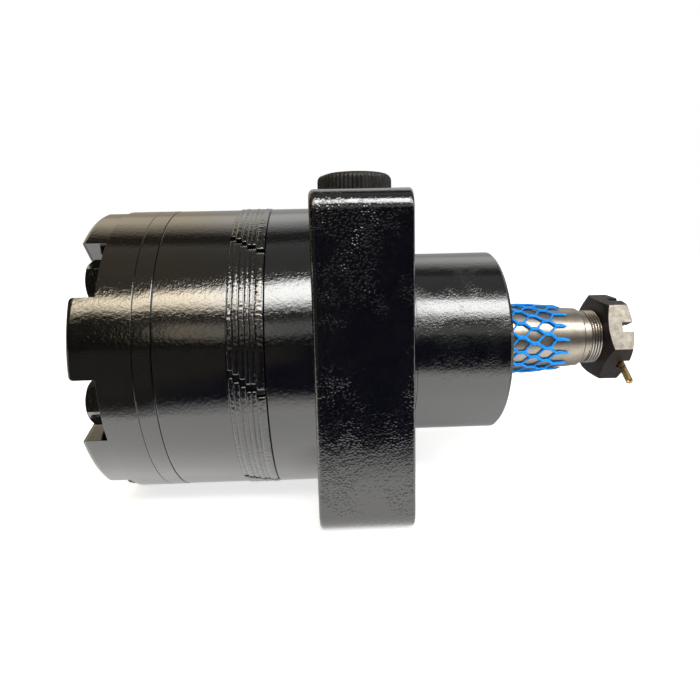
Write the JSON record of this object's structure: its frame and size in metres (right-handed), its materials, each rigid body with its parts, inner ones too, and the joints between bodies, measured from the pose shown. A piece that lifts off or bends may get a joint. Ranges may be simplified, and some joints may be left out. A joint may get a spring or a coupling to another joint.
{
  "type": "orbital hydraulic motor",
  "caption": "Orbital hydraulic motor: rotor set behind a thick square flange, long round pilot, plugged top ports, keyed taper shaft with slotted nut, split pin and net sleeve.",
  "frame": {"origin": "centre of the flange's mounting face, on the motor axis", "axes": "+X along the motor axis towards the shaft end, +Z towards the ports, +Y completes a right-handed set"},
  "size_m": [0.2331, 0.129, 0.1383],
  "materials": {
    "black_enamel": "thick glossy black enamel over cast and machined iron, faint orange peel",
    "shaft_steel": "ground and turned steel with fine circumferential marks, lightly oiled",
    "nut_black_oxide": "dark brown-black oxide with worn edges",
    "pin_brass": "yellow-passivated split pin",
    "net_blue": "extruded polyethylene netting, bright blue",
    "plug_plastic": "matte brown-black plastic with a knurled rim",
    "seal_rubber": "nitrile rubber",
    "bearing_steel": "ground bearing steel",
    "cage_steel": "pressed steel cage",
    "hardened_steel": "lapped hardened steel with an oil film",
    "spring_steel": "phosphated spring steel",
    "key_steel": "bright key steel"
  },
  "bodies": {
    "casing": {"housing": "black_enamel", "front_bearing_cup": "bearing_steel", "rear_bearing_cup": "bearing_steel", "thrust_race_housing": "bearing_steel", "shaft_seal": "seal_rubber", "seal_backup_washer": "spring_steel", "retaining_ring": "spring_steel", "dust_seal": "seal_rubber", "commutator_ring": "hardened_steel", "manifold_plate_1": "black_enamel", "manifold_plate_2": "black_enamel", "manifold_plate_3": "black_enamel", "manifold_plate_4": "black_enamel", "manifold_plate_5": "black_enamel", "manifold_plate_6": "black_enamel", "stator_ring": "black_enamel", "balance_plate": "black_enamel", "end_cover": "black_enamel", "through_bolts": "black_enamel", "body_seals": "seal_rubber"},
    "shaft": {"output_shaft": "shaft_steel", "thrust_race_shaft": "bearing_steel", "shaft_key": "key_steel", "shaft_nut": "nut_black_oxide", "split_pin": "pin_brass", "net_sleeve": "net_blue"},
    "front_cage": {"front_bearing_cage": "cage_steel", "front_bearing_needles": "bearing_steel"},
    "rear_cage": {"rear_bearing_cage": "cage_steel", "rear_bearing_needles": "bearing_steel"},
    "thrust_cage": {"thrust_bearing_cage": "cage_steel", "thrust_bearing_needles": "bearing_steel"},
    "commutator": {"commutator": "hardened_steel", "commutator_seal": "seal_rubber"},
    "rotor": {"rotor": "hardened_steel"},
    "drive_link": {"drive_link": "hardened_steel"},
    "roller_1": {"stator_roller_1": "hardened_steel"},
    "roller_2": {"stator_roller_2": "hardened_steel"},
    "roller_3": {"stator_roller_3": "hardened_steel"},
    "roller_4": {"stator_roller_4": "hardened_steel"},
    "roller_5": {"stator_roller_5": "hardened_steel"},
    "roller_6": {"stator_roller_6": "hardened_steel"},
    "roller_7": {"stator_roller_7": "hardened_steel"},
    "plug_near": {"port_plug_near": "plug_plastic", "port_seal_near": "seal_rubber"},
    "plug_far": {"port_plug_far": "plug_plastic", "port_seal_far": "seal_rubber"}
  },
  "joints": [
    {"name": "shaft_spin", "type": "hinge", "parent": "casing", "child": "shaft", "pos_m": [0, 0, 0], "axis": [1, 0, 0], "continuous": true},
    {"name": "front_cage_spin", "type": "hinge", "parent": "casing", "child": "front_cage", "pos_m": [0.0155, 0, 0], "axis": [1, 0, 0], "continuous": true},
    {"name": "rear_cage_spin", "type": "hinge", "parent": "casing", "child": "rear_cage", "pos_m": [-0.03, 0, 0], "axis": [1, 0, 0], "continuous": true},
    {"name": "thrust_cage_spin", "type": "hinge", "parent": "casing", "child": "thrust_cage", "pos_m": [0.001, 0, 0], "axis": [1, 0, 0], "continuous": true},
    {"name": "commutator_orbit", "type": "hinge", "parent": "casing", "child": "commutator", "pos_m": [-0.05, 0, 0], "axis": [1, 0, 0], "continuous": true},
    {"name": "rotor_spin", "type": "hinge", "parent": "commutator", "child": "rotor", "pos_m": [-0.082, 0, 0.003], "axis": [1, 0, 0], "continuous": true},
    {"name": "link_spin", "type": "hinge", "parent": "commutator", "child": "drive_link", "pos_m": [-0.009, 0, 0], "axis": [0.9992, 0, -0.0411], "continuous": true},
    {"name": "roller_1_spin", "type": "hinge", "parent": "casing", "child": "roller_1", "pos_m": [-0.082, -0.01475, 0.03063], "axis": [1, 0, 0], "continuous": true},
    {"name": "roller_2_spin", "type": "hinge", "parent": "casing", "child": "roller_2", "pos_m": [-0.082, -0.03315, 0.00757], "axis": [1, 0, 0], "continuous": true},
    {"name": "roller_3_spin", "type": "hinge", "parent": "casing", "child": "roller_3", "pos_m": [-0.082, -0.02658, -0.0212], "axis": [1, 0, 0], "continuous": true},
    {"name": "roller_4_spin", "type": "hinge", "parent": "casing", "child": "roller_4", "pos_m": [-0.082, 0, -0.034], "axis": [1, 0, 0], "continuous": true},
    {"name": "roller_5_spin", "type": "hinge", "parent": "casing", "child": "roller_5", "pos_m": [-0.082, 0.02658, -0.0212], "axis": [1, 0, 0], "continuous": true},
    {"name": "roller_6_spin", "type": "hinge", "parent": "casing", "child": "roller_6", "pos_m": [-0.082, 0.03315, 0.00757], "axis": [1, 0, 0], "continuous": true},
    {"name": "roller_7_spin", "type": "hinge", "parent": "casing", "child": "roller_7", "pos_m": [-0.082, 0.01475, 0.03063], "axis": [1, 0, 0], "continuous": true},
    {"name": "plug_near_pull", "type": "slide", "parent": "casing", "child": "plug_near", "axis": [0, 0, 1], "range_m": [0, 0.03]},
    {"name": "plug_far_pull", "type": "slide", "parent": "casing", "child": "plug_far", "axis": [0, 0, 1], "range_m": [0, 0.03]}
  ],
  "couplings": [
    {"joint": "front_cage_spin", "follows": "shaft_spin", "ratio": 0.4599},
    {"joint": "rear_cage_spin", "follows": "shaft_spin", "ratio": 0.4729},
    {"joint": "thrust_cage_spin", "follows": "shaft_spin", "ratio": 0.5},
    {"joint": "commutator_orbit", "follows": "shaft_spin", "ratio": -6},
    {"joint": "rotor_spin", "follows": "shaft_spin", "ratio": 7},
    {"joint": "link_spin", "follows": "shaft_spin", "ratio": 7}
  ]
}
